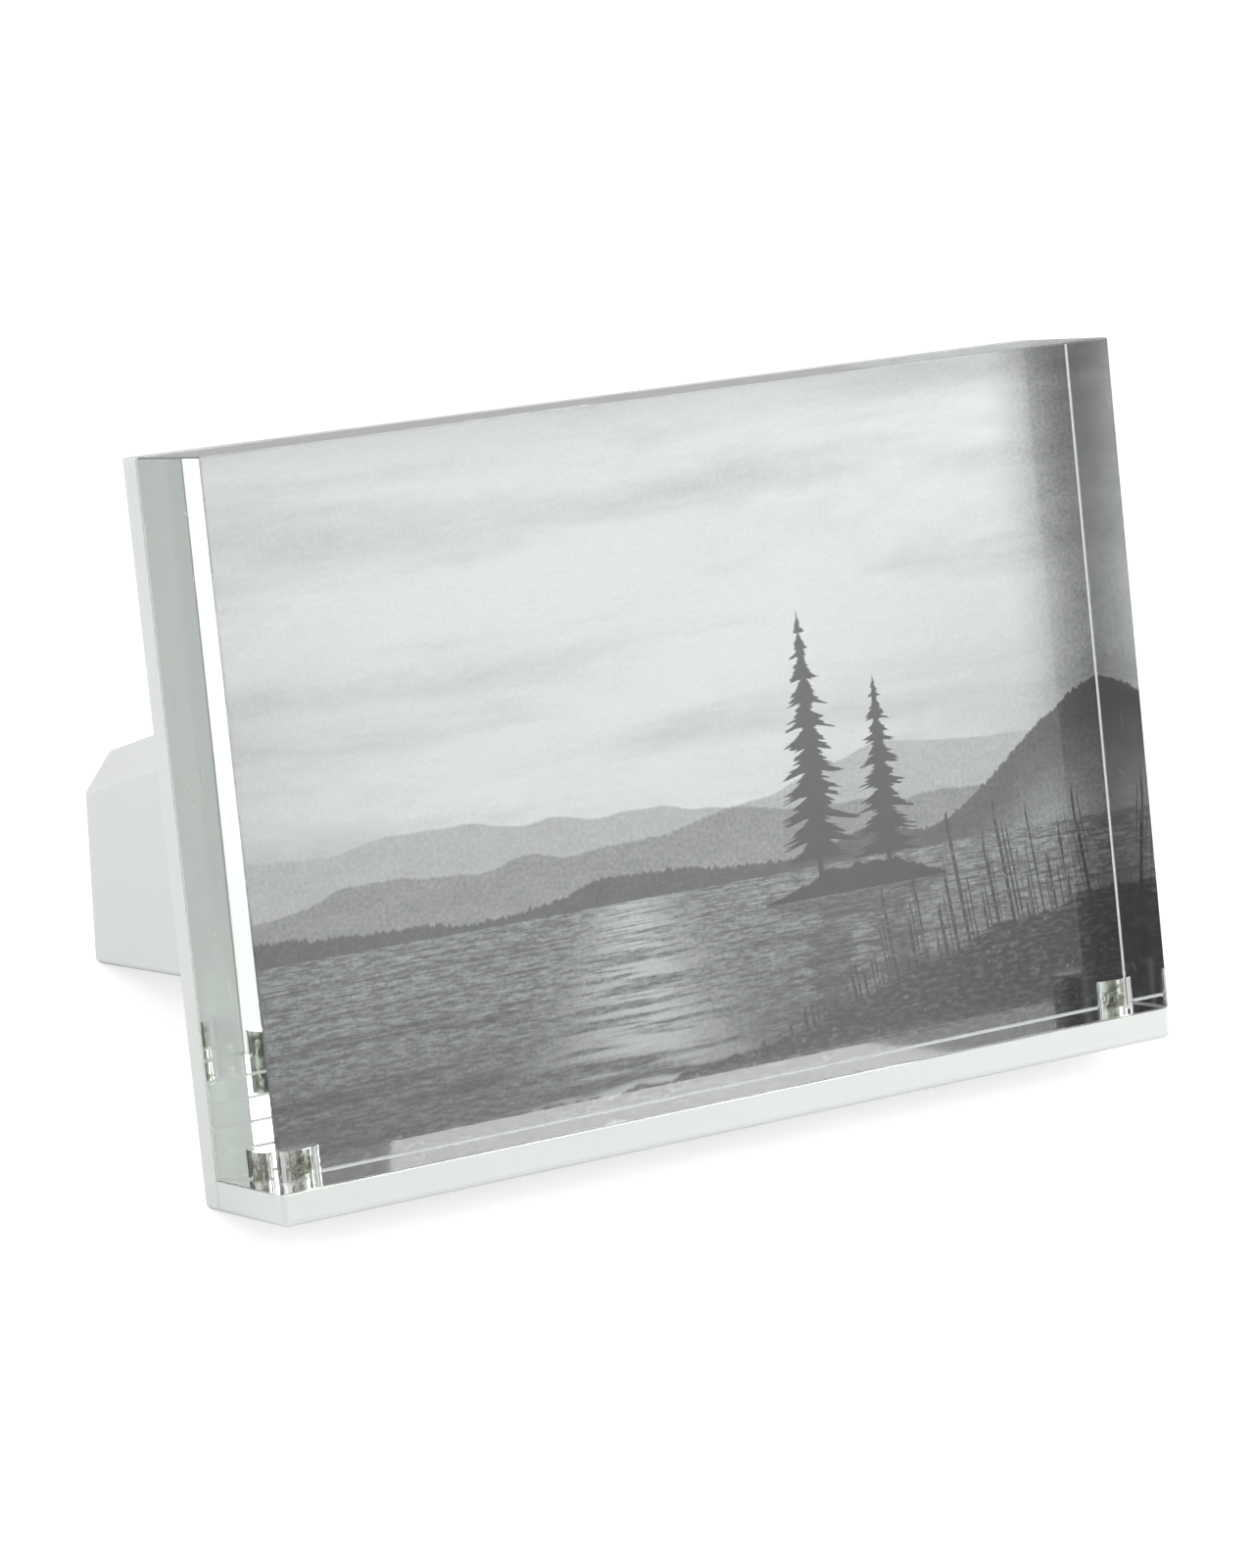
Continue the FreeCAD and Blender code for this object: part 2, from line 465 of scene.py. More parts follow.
class WhiteSettings(bpy.types.PropertyGroup):
    """Sizes and colours of the white acrylic's finish."""

    color: FloatVectorProperty(
        name="Colour",
        description="Colour of the white sheet",
        subtype="COLOR",
        size=4,
        default=(0.625, 0.645, 0.63, 1.0),
        min=0.0,
        max=1.0,
    )
    roughness: share_property("Roughness", "Roughness of the polish", 0.16)
    glow_depth: FloatProperty(
        name="Glow depth",
        description="How deep light spreads in the sheet",
        default=2 * MM,
        min=0.0,
        unit="LENGTH",
    )


class MagnetSettings(bpy.types.PropertyGroup):
    """Colours of the magnets' plating."""

    color: FloatVectorProperty(
        name="Plating",
        description="Colour of the nickel plating",
        subtype="COLOR",
        size=4,
        default=(0.80, 0.82, 0.75, 1.0),
        min=0.0,
        max=1.0,
    )
    stain: FloatVectorProperty(
        name="Stain",
        description="Colour of the glue that shows on the plating",
        subtype="COLOR",
        size=4,
        default=(0.33, 0.34, 0.21, 1.0),
        min=0.0,
        max=1.0,
    )
    patch: FloatProperty(
        name="Stain size",
        description="Size of a patch of glue",
        default=1.6 * MM,
        min=0.0001,
        unit="LENGTH",
    )


class PrintSettings(bpy.types.PropertyGroup):
    """Tones and places of the lake view on the print. Shares count from its lower left corner."""

    sky: share_property("Sky", "Reflectance of the upper sky", 0.86)
    haze: share_property("Haze", "Reflectance of the bright haze", 1.0)
    far_hills: share_property("Far hills", "Reflectance of the far hills", 0.56)
    middle_hills: share_property("Middle hills", "Reflectance of the middle hills", 0.34)
    near_hills: share_property("Near hills", "Reflectance of the near hills", 0.11)
    water: share_property("Water", "Reflectance of the near water", 0.092)
    shore: share_property("Shore", "Reflectance of the dark shore", 0.024)
    waterline_share: share_property("Waterline", "Height share of the far shore", 0.29)
    haze_across_share: share_property("Haze across", "Width share of the haze", 0.44)
    cast: FloatVectorProperty(
        name="Cast",
        description="Faint cool cast of the ink",
        subtype="COLOR",
        size=4,
        default=(0.972, 1.0, 0.980, 1.0),
        min=0.0,
        max=1.0,
    )
    unevenness: share_property("Unevenness", "Strength of the slow changes of tone", 0.45)
    grain: share_property("Grain", "Strength of the film grain", 0.56)


class StudioSettings(bpy.types.PropertyGroup):
    """Places and strengths of the camera, floor and lights."""

    azimuth: FloatProperty(
        name="Azimuth",
        description="Turn of the camera round the frame, from straight in front",
        subtype="ANGLE",
        default=math.radians(-33.541),
    )
    elevation: FloatProperty(
        name="Elevation",
        description="Height of the camera over the horizon",
        subtype="ANGLE",
        default=math.radians(21.527),
    )
    roll: FloatProperty(
        name="Roll",
        description="Turn of the camera about its own line of sight",
        subtype="ANGLE",
        default=math.radians(3.740),
    )
    distance: FloatProperty(
        name="Distance",
        description="From the camera to the point it aims at",
        default=0.80566,
        min=0.1,
        unit="LENGTH",
    )
    aim: FloatVectorProperty(
        name="Aim",
        description="The point that the camera aims at",
        subtype="TRANSLATION",
        size=3,
        default=(0.005875, -0.009112, 0.041977),
    )
    lens: FloatProperty(name="Lens", description="Focal length in millimetres", default=124.716, min=10.0)
    floor: FloatVectorProperty(
        name="Floor",
        description="Colour of the floor",
        subtype="COLOR",
        size=4,
        default=(0.90, 0.91, 0.90, 1.0),
        min=0.0,
        max=1.0,
    )
    mirrored_floor: share_property(
        "Mirrored floor", "Reflectance of the floor where clear or polished faces show it", 0.46
    )
    room: FloatProperty(
        name="Room light",
        description="Strength of the light from all sides",
        default=2.12,
        min=0.0,
    )
    overhead_share: share_property(
        "Overhead share", "Light from above as a share of the light from the sides", 0.42
    )
    front_share: share_property(
        "Front share", "Light from the front as a share of the light from the other sides", 0.31
    )
    card: FloatProperty(
        name="Card light",
        description="Brightness of the soft light at the right front",
        default=1.45,
        min=0.0,
    )
    key: FloatProperty(
        name="Key light",
        description="Brightness of the light high at the right front",
        default=8.9,
        min=0.0,
    )


class BLOCKFRAME_OT_stage(bpy.types.Operator):
    """Set the floor, the lights and the camera"""

    bl_idname = "block_frame.stage"
    bl_label = "Stage"

    def execute(self, context):
        studio = context.scene.studio_settings
        make_floor(studio)
        make_room(context.scene, studio)
        make_lights(studio)
        make_camera(context.scene, studio)
        return {"FINISHED"}


def flat_object(name, corners):
    """An object with one four-cornered face, in the scene."""
    mesh = bpy.data.meshes.new(name)
    mesh.from_pydata(corners, [], [(0, 1, 2, 3)])
    made = bpy.data.objects.new(name, mesh)
    bpy.context.scene.collection.objects.link(made)
    return made


def diffuse_deeper(w, rays):
    """1 for light on its way from a matt surface, and 0 where the eye sees the place itself or mirrored."""
    return w.math("GREATER_THAN", rays["Diffuse Depth"], 0.5)


def make_floor(studio):
    """A wide pale floor that looks white away from the frame's shadow.

    The camera sees it partly lit and partly glowing, so that it reaches white and still keeps the shadow."""
    half = 6.0
    lit_tone, glow = 0.42, 0.70
    corners = [(-half, -half, 0.0), (half, -half, 0.0), (half, half, 0.0), (-half, half, 0.0)]
    floor = flat_object("floor", corners)
    material, w, shader, output = new_material("Pale floor")
    shader.inputs["Roughness"].default_value = 0.9
    shader.inputs["Specular IOR Level"].default_value = 0.1
    mottle = w.group(
        shared_groups()["mottle"],
        {"Vector": object_place(w), "Color": tuple(studio.floor), "Patch": 0.3, "Amount": 0.01},
    )
    rays = w.node("ShaderNodeLightPath").outputs
    color = w.mix(diffuse_deeper(w, rays), tone(studio.mirrored_floor), mottle["Color"])
    w.put(shader.inputs["Base Color"], color)
    lit = w.node("ShaderNodeBsdfDiffuse", {"Color": tone(lit_tone)})
    white = w.node("ShaderNodeEmission", {"Color": tone(1.0), "Strength": glow})
    seen = w.node("ShaderNodeAddShader", {0: lit.outputs[0], 1: white.outputs[0]})
    choice = {0: rays["Is Camera Ray"], 1: shader.outputs[0], 2: seen.outputs[0]}
    w.put(output.inputs["Surface"], w.node("ShaderNodeMixShader", choice).outputs[0])
    floor.data.materials.append(material)


def make_room(scene, studio):
    """Light from all sides, weaker from above and from the front, and plain white where the eye sees it."""
    front = (0.35, -0.94, 0.0)
    world = bpy.data.worlds.new("studio")
    scene.world = world
    world.use_nodes = True
    world.node_tree.nodes.clear()
    w = Wiring(world.node_tree)
    rays = w.node("ShaderNodeLightPath").outputs
    toward = w.node("ShaderNodeTexCoord").outputs["Generated"]
    light = w.smooth(w.split(toward)[2], 0.0, 1.0, studio.room, studio.room * studio.overhead_share)
    light = w.math("MULTIPLY", light, w.smooth(w.reach(toward, front), -0.2, 0.8, 1.0, studio.front_share))
    mirrored = w.math("MAXIMUM", rays["Is Glossy Ray"], rays["Is Transmission Ray"])
    mirrored = w.math("MULTIPLY", mirrored, w.math("SUBTRACT", 1.0, diffuse_deeper(w, rays)))
    strength = w.blend_values(w.math("MAXIMUM", rays["Is Camera Ray"], mirrored), light, 1.0)
    background = w.node("ShaderNodeBackground", {"Color": tone(1.0), "Strength": strength})
    w.node("ShaderNodeOutputWorld", {"Surface": background.outputs[0]})


def upright_sheet(name, turn, away, span, heights):
    """A standing sheet that faces the frame from a turn to the right of straight in front."""
    outward = Vector((math.sin(turn), -math.cos(turn), 0.0))
    sideways = Vector((math.cos(turn), math.sin(turn), 0.0))
    left, right = span
    foot, top = heights
    corners = [
        outward * away + sideways * across + Vector((0.0, 0.0, rise))
        for across, rise in ((left, foot), (left, top), (right, top), (right, foot))
    ]
    sheet = flat_object(name, corners)
    sheet.visible_camera = False
    return sheet, sideways


def one_sided_light(w, strength):
    """A shader that shines from the front of a sheet and lets light through from behind."""
    light = w.node("ShaderNodeEmission", {"Color": tone(1.0), "Strength": strength})
    clear = w.node("ShaderNodeBsdfTransparent")
    behind = w.node("ShaderNodeNewGeometry").outputs["Backfacing"]
    sided = w.node("ShaderNodeMixShader", {0: behind, 1: light.outputs[0], 2: clear.outputs[0]})
    w.node("ShaderNodeOutputMaterial", {"Surface": sided.outputs[0]})


CARD_TURN = math.radians(31.0)
CARD_AWAY = 0.80
CARD_SPAN = (-0.45, 0.25)
CARD_HEIGHTS = (0.02, 0.75)
KEY_TURN = math.radians(40.0)
KEY_AWAY = 0.71
KEY_SPAN = (-0.18, 0.18)
KEY_HEIGHTS = (0.30, 0.90)
FLAGS = (
    ("right_flag", CARD_TURN, CARD_AWAY, (CARD_SPAN[1], 1.3)),
    ("left_flag", -CARD_TURN, 0.95, (-0.55, 0.75)),
)
FLAG_HEIGHTS = (0.0, 0.55)


def make_lights(studio):
    """Two lights at the right front, and two dark flags beside what the polished block mirrors."""
    make_card(studio)
    make_key(studio)
    make_flags()


def make_card(studio):
    """A low card of soft light, brightest along a band that the block mirrors."""
    band_foot, band_lean = 0.09, -0.5
    dim = 0.5
    card, sideways = upright_sheet("light_card", CARD_TURN, CARD_AWAY, CARD_SPAN, CARD_HEIGHTS)
    material, w = bare_material("Light card")
    place = object_place(w)
    side = w.reach(place, sideways)
    rise = w.split(place)[2]
    leaned = w.math("MULTIPLY_ADD", w.math("SUBTRACT", rise, band_foot), band_lean, side)
    band = w.math("MULTIPLY", w.smooth(leaned, 0.115, 0.015), w.smooth(side, -0.32, -0.06))
    bright = w.math("MULTIPLY", w.smooth(rise, 0.10, 0.30, 0.9, 1.5), studio.card)
    one_sided_light(w, w.blend_values(band, dim, bright))
    card.data.materials.append(material)


def make_key(studio):
    """A small bright sheet higher up, which gives the white pieces their light and shade."""
    key, _ = upright_sheet("key_light", KEY_TURN, KEY_AWAY, KEY_SPAN, KEY_HEIGHTS)
    material, w = bare_material("Key light")
    one_sided_light(w, studio.key)
    key.data.materials.append(material)


def make_flags():
    """Sheets of black felt that only the polished faces show, without shade on anything."""
    felt, w, shader, output = new_material("Black felt")
    shader.inputs["Base Color"].default_value = tone(0.03)
    shader.inputs["Roughness"].default_value = 1.0
    shader.inputs["Specular IOR Level"].default_value = 0.0
    deeper = diffuse_deeper(w, w.node("ShaderNodeLightPath").outputs)
    clear = w.node("ShaderNodeBsdfTransparent")
    both = w.node("ShaderNodeMixShader", {0: deeper, 1: shader.outputs[0], 2: clear.outputs[0]})
    w.put(output.inputs["Surface"], both.outputs[0])
    for name, turn, away, span in FLAGS:
        flag, _ = upright_sheet(name, turn, away, span, FLAG_HEIGHTS)
        flag.visible_diffuse = False
        flag.visible_shadow = False
        flag.data.materials.append(felt)


def make_camera(scene, studio):
    """The camera, placed by its turn, height and distance from the point it aims at."""
    data = bpy.data.cameras.new("camera")
    data.sensor_width = 36.0
    data.lens = studio.lens
    data.clip_start = 0.01
    data.clip_end = 50.0
    camera = bpy.data.objects.new("camera", data)
    scene.collection.objects.link(camera)
    flat = math.cos(studio.elevation)
    back = Vector(
        (math.sin(studio.azimuth) * flat, -math.cos(studio.azimuth) * flat, math.sin(studio.elevation))
    )
    camera.location = Vector(studio.aim) + back * studio.distance
    camera.rotation_mode = "QUATERNION"
    camera.rotation_quaternion = (-back).to_track_quat("-Z", "Y") @ Quaternion((0.0, 0.0, 1.0), studio.roll)
    scene.camera = camera


class BLOCKFRAME_OT_clear_block(bpy.types.Operator):
    """Finish the clear block in polished acrylic"""

    bl_idname = "block_frame.clear_block"
    bl_label = "Clear block"

    def execute(self, context):
        dress(BLOCK_NODES, clear_acrylic(context.scene.block_settings))
        return {"FINISHED"}


def clear_acrylic(settings):
    """Clear cast acrylic: polished, faintly tinted in its depth, with marked ends and scraped edges."""
    tick_share, tick_strength, grease_strength = 0.12, 0.6, 0.20
    streaks_per_metre, smears_per_metre = 170.0, 34.0
    material, w, shader, output = new_material("Clear acrylic")
    shader.inputs["Base Color"].default_value = tone(1.0)
    shader.inputs["Metallic"].default_value = 0.0
    shader.inputs["Transmission Weight"].default_value = 1.0
    shader.inputs["IOR"].default_value = settings.ior
    flat, end = face_place(w)
    ticks = w.group(
        shared_groups()["ticks"],
        {
            "Vector": flat,
            "Spacing": 9 * MM,
            "Length": settings.scratch_length,
            "Width": 0.08 * MM,
            "Share": tick_share,
        },
    )["Mask"]
    streak_place = w.stretch(w.vector("ADD", flat, (13 * MM, 0.0, 0.0)), (1.0, 0.16, 1.0))
    streak = w.smooth(w.noise(streak_place, streaks_per_metre, 3.0, 0.55, 1.6), 0.60, 0.68)
    grease = w.math("MULTIPLY", streak, w.smooth(w.noise(flat, smears_per_metre, 2.0), 0.50, 0.62))
    ticks = w.math("MULTIPLY", ticks, tick_strength)
    marks = w.math("MAXIMUM", ticks, w.math("MULTIPLY", grease, grease_strength))
    rough = w.math("MULTIPLY_ADD", marks, end, settings.polish)
    w.put(shader.inputs["Roughness"], w.math("MULTIPLY_ADD", broken_edges(w), settings.edge_roughness, rough))
    absorb = w.node(
        "ShaderNodeVolumeAbsorption",
        {"Color": tuple(settings.tint), "Density": settings.depth},
    )
    w.put(output.inputs["Volume"], absorb.outputs[0])
    return material


class BLOCKFRAME_OT_white_sheets(bpy.types.Operator):
    """Finish the plate, the ledge and the leg in white acrylic"""

    bl_idname = "block_frame.white_sheets"
    bl_label = "White sheets"

    def execute(self, context):
        dress(WHITE_NODES, white_acrylic(context.scene.white_settings))
        return {"FINISHED"}


def white_acrylic(settings):
    """Opal white acrylic: light spreads a little way in, and the polish has fine marks and dust."""
    dust_strength, mark_roughness, cloud_roughness = 0.35, 0.2, 0.08
    material, w, shader, _ = new_material("White acrylic")
    groups = shared_groups()
    place = object_place(w)
    mottle = w.group(
        groups["mottle"],
        {"Vector": place, "Color": tuple(settings.color), "Patch": 18 * MM, "Amount": 0.012},
    )
    dust = w.group(groups["specks"], {"Vector": place, "Spacing": 3.5 * MM, "Size": 0.035})
    dusty = w.math("MULTIPLY", dust["Mask"], dust_strength)
    w.put(shader.inputs["Base Color"], w.mix(dusty, mottle["Color"], tone(0.5)))
    marks = w.group(groups["scratches"], {"Vector": place, "Length": 9 * MM, "Density": 0.5, "Seed": 11.0})
    wear = w.math("MULTIPLY_ADD", marks["Mask"], mark_roughness, settings.roughness)
    wear = w.math("MULTIPLY_ADD", w.swing(mottle["Mask"]), cloud_roughness, wear)
    w.put(shader.inputs["Roughness"], wear)
    shader.inputs["IOR"].default_value = 1.49
    shader.inputs["Specular IOR Level"].default_value = 0.35
    shader.inputs["Subsurface Weight"].default_value = 0.35
    shader.inputs["Subsurface Radius"].default_value = (1.0, 1.0, 1.0)
    shader.inputs["Subsurface Scale"].default_value = settings.glow_depth
    bump = w.node("ShaderNodeBump", {"Strength": 0.15, "Distance": 0.02 * MM, "Height": marks["Height"]})
    w.put(shader.inputs["Normal"], bump.outputs[0])
    return material


class BLOCKFRAME_OT_magnets(bpy.types.Operator):
    """Finish the magnets in nickel plating with glue on it"""

    bl_idname = "block_frame.magnets"
    bl_label = "Magnets"

    def execute(self, context):
        dress(MAGNET_NODES, nickel_plating(context.scene.magnet_settings))
        return {"FINISHED"}


def nickel_plating(settings):
    """Nickel plating seen through patches of dark glue, which keep off the pins' ends."""
    dark_share = 0.3
    plain_roughness, glue_roughness, mark_roughness = 0.22, 0.30, 0.15
    material, w, shader, _ = new_material("Nickel plating")
    groups = shared_groups()
    place = object_place(w)
    blot = w.noise(place, 1.0 / settings.patch, 3.0, 0.6, 0.8)
    low, high = upright_box("block_magnet_left")
    risen = w.smooth(w.split(upright_place(w))[2], low.z, high.z)
    middle = w.math("MULTIPLY", w.smooth(risen, 0.0, 0.16), w.smooth(risen, 1.0, 0.88))
    glue = w.math("MULTIPLY", w.smooth(blot, 0.41, 0.55), middle)
    mottle = w.group(
        groups["mottle"],
        {"Vector": place, "Color": tuple(settings.color), "Patch": 0.8 * MM, "Amount": 0.2},
    )
    spots = w.smooth(w.noise(place, 2.6 / settings.patch, 3.0, 0.7), 0.42, 0.60)
    dark_stain = tuple(value * dark_share for value in settings.stain[:3]) + (1.0,)
    stain = w.mix(spots, tuple(settings.stain), dark_stain)
    w.put(shader.inputs["Base Color"], w.mix(glue, mottle["Color"], stain))
    shader.inputs["Metallic"].default_value = 0.9
    marks = w.group(groups["scratches"], {"Vector": place, "Length": 1.5 * MM, "Density": 0.8, "Seed": 5.0})
    rough = w.math("MULTIPLY_ADD", glue, glue_roughness, plain_roughness)
    w.put(shader.inputs["Roughness"], w.math("MULTIPLY_ADD", marks["Mask"], mark_roughness, rough))
    bump = w.node("ShaderNodeBump", {"Strength": 0.5, "Distance": 0.08 * MM, "Height": blot})
    w.put(shader.inputs["Normal"], bump.outputs[0])
    return material


class BLOCKFRAME_OT_print(bpy.types.Operator):
    """Print a greyscale view of a misty lake on the paper"""

    bl_idname = "block_frame.print"
    bl_label = "Print"

    def execute(self, context):
        dress(PRINT_NODES, lake_print(context.scene.print_settings))
        return {"FINISHED"}


def print_place(w):
    """Across, up and in, as shares of the print's width, height and thickness."""
    low, high = upright_box("photo_print")
    from_corner = w.vector("SUBTRACT", upright_place(w), low)
    across, inward, up = w.split(w.stretch(from_corner, tuple(1.0 / length for length in high - low)))
    return across, up, inward


def grid_noise(w, across, up, columns, rows, seed, detail=2.0, roughness=0.5, distortion=0.0):
    """Noise over the print, with so many cells across and up."""
    place = w.join(w.math("MULTIPLY", across, columns), w.math("MULTIPLY", up, rows), seed)
    return w.noise(place, 1.0, detail, roughness, distortion)


def haze_side(w, across, settings):
    """How far a place lies to either side of the haze, as a share of the width."""
    return w.math("ABSOLUTE", w.math("SUBTRACT", across, settings.haze_across_share))


def sky_tone(w, across, up, settings):
    """A pale overcast sky, brightest in the haze over the hills."""
    cloud_strength, corner_strength, side_strength = 0.26, 0.45, 0.20
    lift = w.smooth(up, 1.0, settings.waterline_share)
    side = haze_side(w, across, settings)
    glow = w.math("MULTIPLY", w.smooth(side, 0.62, 0.0), lift)
    base = w.mix(glow, tone(settings.sky), tone(settings.haze))
    look = {"detail": 5.0, "roughness": 0.55, "distortion": 0.35}
    cloud = grid_noise(w, across, up, columns=2.0, rows=7.5, seed=4.0, **look)
    cloud = w.smooth(cloud, 0.40, 0.72)
    corner = w.math("MULTIPLY", w.smooth(across, 0.88, 1.0), w.smooth(up, 0.62, 0.95))
    beside = w.math("MULTIPLY", w.smooth(side, 0.14, 0.55), lift)
    dull = w.math("MULTIPLY", cloud, cloud_strength)
    dull = w.math("MULTIPLY_ADD", corner, corner_strength, dull)
    dull = w.math("MULTIPLY_ADD", beside, side_strength, dull)
    return w.shaded(base, w.math("SUBTRACT", 1.0, dull))


def with_hills(w, picture, across, up, settings):
    """Three ranges of hills, each nearer and darker, with misty feet. The nearest rises at the right."""
    mist_strength, mist_tone_share = 0.6, 0.62
    ranges = (
        (settings.far_hills, 0.15, 0.0, 0.13, 1.7, 0.002, 2.6),
        (settings.middle_hills, 0.085, 0.0, 0.08, 2.6, 0.005, 8.2),
        (settings.near_hills, 0.03, 0.17, 0.05, 3.4, 0.014, 15.7),
    )
    for shade, rise_share, right_rise_share, relief_share, frequency, teeth_share, seed in ranges:
        height = settings.waterline_share + rise_share
        hill = w.group(
            shared_groups()["skyline"],
            {
                "Across": across,
                "Up": up,
                "Height": w.smooth(across, 0.78, 1.0, height, height + right_rise_share),
                "Relief": relief_share,
                "Frequency": frequency,
                "Teeth": teeth_share,
                "Seed": seed,
            },
        )
        mist = w.smooth(hill["Depth"], 0.02, 0.20, 0.0, mist_strength)
        body = w.mix(mist, tone(shade), tone(settings.haze * mist_tone_share))
        picture = w.mix(hill["Mask"], picture, body)
    return picture


def with_lake(w, picture, across, up, settings):
    """Still water with long ripples and a bright path under the haze."""
    far_water_times, eye_height, ripple_rows = 2.8, 0.06, 2.6
    glint_strength, glint_tone_share = 0.75, 0.85
    below = w.math("SUBTRACT", settings.waterline_share, up)
    water = w.mix(w.smooth(below, 0.0, 0.33), tone(settings.water * far_water_times), tone(settings.water))
    closeness = w.math("ADD", below, eye_height)
    ripple_place = w.join(
        w.math("DIVIDE", w.swing(across), closeness),
        w.math("DIVIDE", ripple_rows, closeness),
        9.0,
    )
    ripple = w.noise(ripple_place, 1.4, 3.0, 0.6)
    water = w.shaded(water, w.smooth(ripple, 0.42, 0.66, 1.2, 0.55))
    chop = grid_noise(w, across, up, columns=60.0, rows=190.0, seed=5.0, detail=3.0, roughness=0.65)
    water = w.shaded(water, w.smooth(chop, 0.32, 0.68, 0.50, 1.50))
    path_half_width = w.math("MULTIPLY_ADD", below, 0.5, 0.07)
    path = w.smooth(haze_side(w, across, settings), path_half_width, 0.0)
    glint = w.math("MULTIPLY", path, w.smooth(ripple, 0.40, 0.56))
    glint = w.math("MULTIPLY", glint, glint_strength)
    water = w.mix(glint, water, tone(settings.haze * glint_tone_share))
    return w.mix(w.smooth(below, -0.001, 0.001), picture, water)


def with_islet(w, picture, across, up, settings):
    """A low rocky islet with two pines and their picture in the water."""
    islet_across, foot_drop, pine_foot = 0.70, 0.012, 0.02
    stir_strength, mirror_strength = 0.035, 0.55
    line = settings.waterline_share - 0.045
    pines = ((0.655, 0.40, 0.047, 12.0, 1.0), (0.735, 0.29, 0.040, 9.0, 6.0))
    mirrored = w.math("SUBTRACT", 2.0 * line, up)
    stir = w.swing(grid_noise(w, across, up, columns=9.0, rows=95.0, seed=2.0))
    stirred = w.math("MULTIPLY_ADD", stir, stir_strength, across)
    for place_across, place_up, strength in ((stirred, mirrored, mirror_strength), (across, up, 1.0)):
        away = w.math("ABSOLUTE", w.math("SUBTRACT", place_across, islet_across))
        rough = w.math("MULTIPLY", w.noise_line(place_across, 26.0, 4.0, 0.6), 0.030)
        rough = w.math("ADD", rough, line - foot_drop)
        top = w.math("ADD", w.smooth(away, 0.17, 0.02, -0.03, 0.035), rough)
        rock = w.smooth(w.math("SUBTRACT", top, place_up), -0.002, 0.002)
        mask = w.math("MULTIPLY", rock, w.math("GREATER_THAN", place_up, line))
        for foot, height, width, tiers, seed in pines:
            pine = w.group(
                shared_groups()["pine"],
                {
                    "Across": place_across,
                    "Up": place_up,
                    "Foot across": foot,
                    "Foot up": line + pine_foot,
                    "Height": height,
                    "Width": width,
                    "Tiers": tiers,
                    "Seed": seed,
                },
            )
            mask = w.math("MAXIMUM", mask, pine["Mask"])
        picture = w.mix(w.math("MULTIPLY", mask, strength), picture, tone(settings.shore * 1.5))
    return picture


def with_shore(w, picture, across, up, settings):
    """A dark stony bank that rises to the right, with reeds."""
    bank_rise, bank_relief, reed_height, reed_lean = 0.16, 0.05, 0.24, 0.08
    grit_times, stone_times, stone_strength = 7.0, 9.0, 0.7
    bank = w.math("MULTIPLY", w.smooth(across, 0.42, 1.05), bank_rise)
    bank = w.math("MULTIPLY_ADD", w.noise_line(across, 9.0, 4.0, 0.6), bank_relief, bank)
    ground = w.smooth(w.math("SUBTRACT", bank, up), -0.002, 0.004)
    leaned = w.math("MULTIPLY_ADD", up, reed_lean, across)
    stalk = w.smooth(w.noise_line(leaned, 210.0, 1.0), 0.50, 0.56)
    tall = w.math("MULTIPLY", w.smooth(w.noise_line(across, 34.0, 3.0, 0.7), 0.30, 0.75), reed_height)
    grown = w.math("MULTIPLY_ADD", tall, w.smooth(across, 0.52, 0.86), bank)
    reeds = w.math("MULTIPLY", stalk, w.smooth(w.math("SUBTRACT", grown, up), 0.0, 0.01))
    dark = w.math("MAXIMUM", ground, reeds)
    grit = grid_noise(w, across, up, columns=90.0, rows=160.0, seed=1.0, detail=3.0)
    grit = w.smooth(grit, 0.42, 0.72, 0.0, 0.7)
    shade = w.mix(grit, tone(settings.shore), tone(settings.shore * grit_times))
    stones = w.group(
        shared_groups()["specks"],
        {"Vector": object_place(w), "Spacing": 1.1 * MM, "Size": 0.40},
    )["Mask"]
    shade = w.mix(w.math("MULTIPLY", stones, stone_strength), shade, tone(settings.shore * stone_times))
    return w.mix(dark, picture, shade)


def with_grain(w, picture, across, up, settings):
    """Film grain and slow unevenness, both stronger in the dark parts."""
    depth = w.smooth(w.node("ShaderNodeRGBToBW", {0: picture}).outputs[0], 0.15, 0.80, 1.0, 0.15)
    grain = grid_noise(w, across, up, columns=250.0, rows=167.0, seed=0.0, detail=1.0)
    grain = w.math("MULTIPLY", w.swing(grain), depth)
    grain = w.math("MULTIPLY_ADD", grain, settings.grain * 2.0, 1.0)
    uneven = grid_noise(w, across, up, columns=36.0, rows=40.0, seed=7.0, detail=5.0, roughness=0.68)
    uneven = w.math("MULTIPLY", w.swing(uneven), depth)
    return w.shaded(picture, w.math("MULTIPLY_ADD", uneven, settings.unevenness * 2.0, grain))


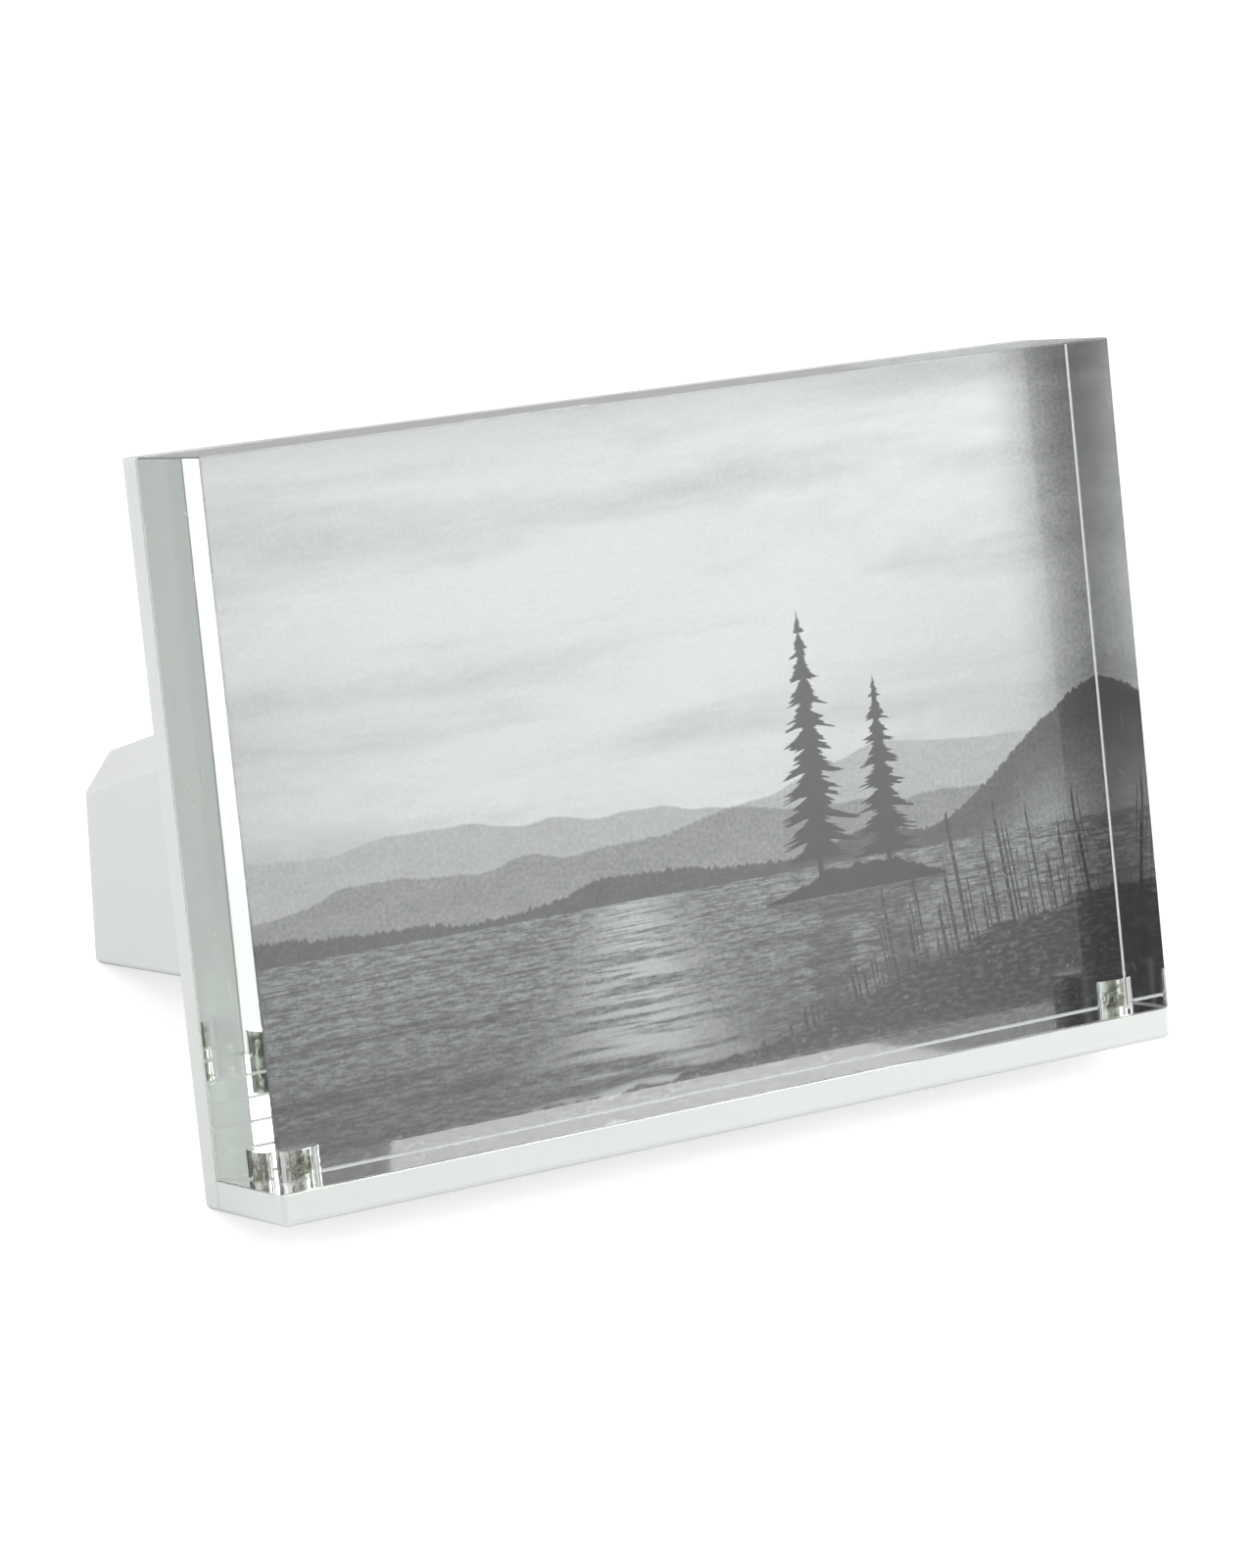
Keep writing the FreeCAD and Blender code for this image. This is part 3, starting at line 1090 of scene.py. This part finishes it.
def lake_print(settings):
    """Half-gloss photo paper with the lake view on its front and plain paper behind."""
    paper, lint_tone, lint_strength = 0.86, 0.85, 0.8
    plain_roughness, dust_roughness = 0.38, 0.3
    right_edge_shade_share = 0.42
    material, w, shader, _ = new_material("Lake print")
    groups = shared_groups()
    across, up, inward = print_place(w)
    picture = sky_tone(w, across, up, settings)
    for layer in (with_hills, with_lake, with_islet, with_shore):
        picture = layer(w, picture, across, up, settings)
    # Painted shade: the picture darkens towards the print's right edge, standing in for the shade that the
    # block's right face casts on the print there.
    right_edge_shade = w.smooth(across, 0.90, 1.01, 1.0, right_edge_shade_share)
    picture = with_grain(w, w.shaded(picture, right_edge_shade), across, up, settings)
    picture = w.mix(1.0, picture, tuple(settings.cast), "MULTIPLY")
    lint = w.group(groups["specks"], {"Vector": object_place(w), "Spacing": 9 * MM, "Size": 0.022})
    picture = w.mix(w.math("MULTIPLY", lint["Mask"], lint_strength), picture, tone(lint_tone))
    w.put(shader.inputs["Base Color"], w.mix(w.smooth(inward, 0.15, 0.05), tone(paper), picture))
    dust = w.group(groups["specks"], {"Vector": object_place(w), "Spacing": 6 * MM, "Size": 0.03})
    w.put(shader.inputs["Roughness"], w.math("MULTIPLY_ADD", dust["Mask"], dust_roughness, plain_roughness))
    shader.inputs["Specular IOR Level"].default_value = 0.4
    return material


class BLOCKFRAME_PT_panel(bpy.types.Panel):
    """Steps and settings of the block frame"""

    bl_label = "Block frame"
    bl_idname = "BLOCKFRAME_PT_panel"
    bl_space_type = "VIEW_3D"
    bl_region_type = "UI"
    bl_category = "Block Frame"

    def draw(self, context):
        for operator, settings in STEPS:
            box = self.layout.box()
            box.operator(operator.bl_idname)
            group = getattr(context.scene, settings)
            for name in group.__annotations__:
                box.prop(group, name)


SETTINGS = {
    "studio_settings": StudioSettings,
    "block_settings": BlockSettings,
    "white_settings": WhiteSettings,
    "magnet_settings": MagnetSettings,
    "print_settings": PrintSettings,
}
STEPS = (
    (BLOCKFRAME_OT_stage, "studio_settings"),
    (BLOCKFRAME_OT_white_sheets, "white_settings"),
    (BLOCKFRAME_OT_clear_block, "block_settings"),
    (BLOCKFRAME_OT_magnets, "magnet_settings"),
    (BLOCKFRAME_OT_print, "print_settings"),
)


def register():
    for name, settings in SETTINGS.items():
        bpy.utils.register_class(settings)
        setattr(bpy.types.Scene, name, PointerProperty(type=settings))
    for operator, _ in STEPS:
        bpy.utils.register_class(operator)
    bpy.utils.register_class(BLOCKFRAME_PT_panel)


def unregister():
    bpy.utils.unregister_class(BLOCKFRAME_PT_panel)
    for operator, _ in reversed(STEPS):
        bpy.utils.unregister_class(operator)
    for name, settings in reversed(SETTINGS.items()):
        delattr(bpy.types.Scene, name)
        bpy.utils.unregister_class(settings)


def set_light_paths(scene):
    """Light crosses the block many times between its polished faces, so its rays may bounce often."""
    scene.cycles.max_bounces = 32
    scene.cycles.glossy_bounces = 24
    scene.cycles.transmission_bounces = 24
    scene.cycles.diffuse_bounces = 4


def main():
    register()
    scene = bpy.context.scene
    set_light_paths(scene)
    scene.view_settings.view_transform = "Standard"
    bpy.ops.block_frame.stage()
    bpy.ops.block_frame.white_sheets()
    bpy.ops.block_frame.clear_block()
    bpy.ops.block_frame.magnets()
    bpy.ops.block_frame.print()


if __name__ == "__main__":
    main()
